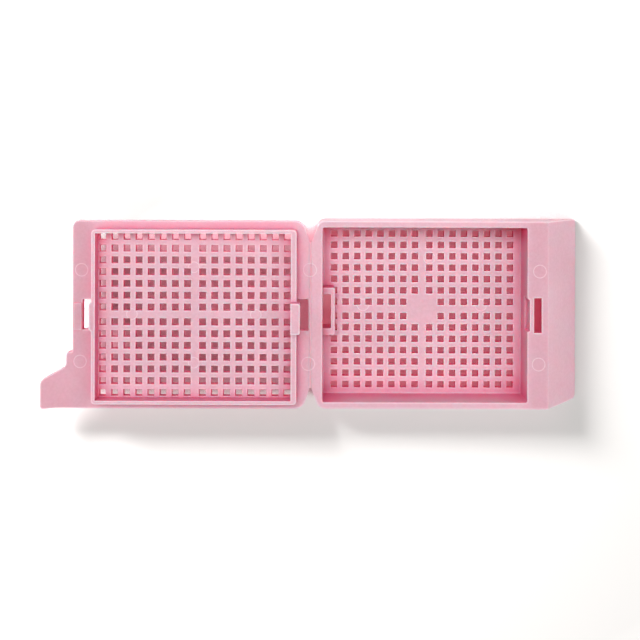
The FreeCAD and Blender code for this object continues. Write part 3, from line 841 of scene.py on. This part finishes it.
def floor():
    """A table covered with white paper, just below the tray so that their faces do not meet."""
    bpy.ops.object.select_all(action="DESELECT")
    bpy.ops.mesh.primitive_plane_add(size=4, location=(0, 0, -0.03 * MM))
    table = bpy.context.object
    table.name = "table"
    paper = Finish("white_paper")
    place = paper.coordinates.outputs["Object"]

    # painted shade and painted red light: where something is close above it the paper is coloured dark pink,
    # standing in for the shade there and the red light that soaks through the plastic;
    # the colour follows how open the paper is, towards the more open of two sides
    openings = []
    for side in (1, -1):
        lean = paper.add("CombineXYZ", {"X": 0.6 * side, "Y": -0.6 * side, "Z": 0.53}).outputs["Vector"]
        openings.append(paper.openness(0.03, 16, {"Normal": lean}))
    widest = paper.maths("MAXIMUM", *openings)
    ramp = paper.add("ValToRGB", {"Fac": widest})
    stops = ramp.color_ramp.elements
    stops.remove(stops[1])
    for number, (position, colour) in enumerate(PAINTED_PAPER_SHADE):
        stop = stops.new(position) if number else stops[0]
        stop.position = position
        stop.color = (*colour, 1)
    painted_paper_shade = ramp.outputs["Color"]

    # painted shade: the open paper is greyer near the spot under the key, so that the key's pool of light does
    # not outshine the rest
    under_key = (-0.091, 0.076, 0)
    painted_key_shade = paper.spread(paper.vector("DISTANCE", place, under_key), 0.077, 0.099, 0.46, 1.0)
    key_pool_shaded = paper.vector("SCALE", painted_paper_shade, painted_key_shade)
    colour = paper.between(painted_paper_shade, key_pool_shaded, paper.spread(widest, 0.67, 0.73))

    # painted light: closed in, the paper glows a little red, standing in for the red light that comes down
    # through the plastic;
    # far from the object it glows as bright as the room, so that no horizon shows
    painted_red_glow = paper.spread(widest, 0.3, 0.65, 0.13, 0.0)
    far = paper.spread(paper.vector("LENGTH", place), 0.06, 0.13)
    painted_glow_colour = paper.between((1.0, 0.16, 0.3), ROOM_LIGHT, paper.spread(widest, 0.3, 0.65))
    paper.fill(paper.shader, {
        "Base Color": colour,
        "Roughness": 1.0,
        "Specular IOR Level": 0.0,
        "Emission Color": painted_glow_colour,
        "Emission Strength": paper.maths("MAXIMUM", painted_red_glow, far),
    })
    table.data.materials.append(paper.material)
    return table



def lit_only(name, pieces):
    """The pieces that a lamp lights; the others still throw shadows in its light."""
    group = bpy.data.collections.new(name)
    for piece in pieces:
        group.objects.link(piece)
    return group


def lamp(name, target, azimuth, elevation, distance, size, power, lights):
    """A round softbox that faces its target, from a direction in degrees and a distance in metres."""
    turn = math.radians(azimuth)
    rise = math.radians(elevation)
    direction = Vector((math.cos(turn) * math.cos(rise), math.sin(turn) * math.cos(rise), math.sin(rise)))
    light = bpy.data.lights.new(name, "AREA")
    light.shape = "DISK"
    light.size = size
    light.energy = power
    light.color = (1.0, 0.985, 0.97)
    holder = bpy.data.objects.new(name, light)
    holder.location = Vector((*target, 0)) + direction * distance
    holder.rotation_euler = direction.to_track_quat("Z", "Y").to_euler()
    holder.light_linking.receiver_collection = lights
    holder.visible_camera = False
    bpy.context.scene.collection.objects.link(holder)


table = floor()
on_table = lit_only("lit_table", [table])
on_moulding = lit_only("lit_moulding", [tray, lid, web])
CENTRE = (0, 0)
lamp("key_softbox", (0.026, 0), 147, 25.5, 0.155, 0.05, 0.39, on_table)
for number, azimuth in enumerate((-40, -90, -140)):
    lamp(f"front_fill_{number}", CENTRE, azimuth, 43, 0.6, 0.25, 0.97, on_table)
lamp("top_fill", CENTRE, 90, 80, 0.6, 0.3, 0.25, on_table)
lamp("overhead_softbox", CENTRE, 104, 69, 0.6, 0.5, 3.3, on_moulding)
lamp("far_softbox", CENTRE, 155, 35, 0.6, 0.3, 0.6, on_moulding)
lamp("side_softbox", CENTRE, -5, 38, 0.6, 0.3, 1.1, on_moulding)

# the room lights what shines, but not matte faces, which have their light from the lamps
scene = bpy.context.scene
world = bpy.data.worlds.new("studio")
scene.world = world
world.use_nodes = True
world.cycles_visibility.diffuse = False
background = world.node_tree.nodes["Background"]
background.inputs["Color"].default_value = (*ROOM_LIGHT, 1)
background.inputs["Strength"].default_value = 1.0
scene.view_settings.view_transform = "Standard"
scene.cycles.max_bounces = 14
scene.cycles.diffuse_bounces = 10

camera = bpy.data.objects.new("camera", bpy.data.cameras.new("camera"))
camera.data.lens = 48.03
camera.data.sensor_width = 36
camera.data.shift_x = -0.0247
camera.data.shift_y = -0.306
camera.data.clip_start = 0.01
camera.location = (-0.01361, 0.02897, 0.13508)
camera.rotation_euler = (0, 0, 0.003)
scene.collection.objects.link(camera)
bpy.context.scene.camera = camera
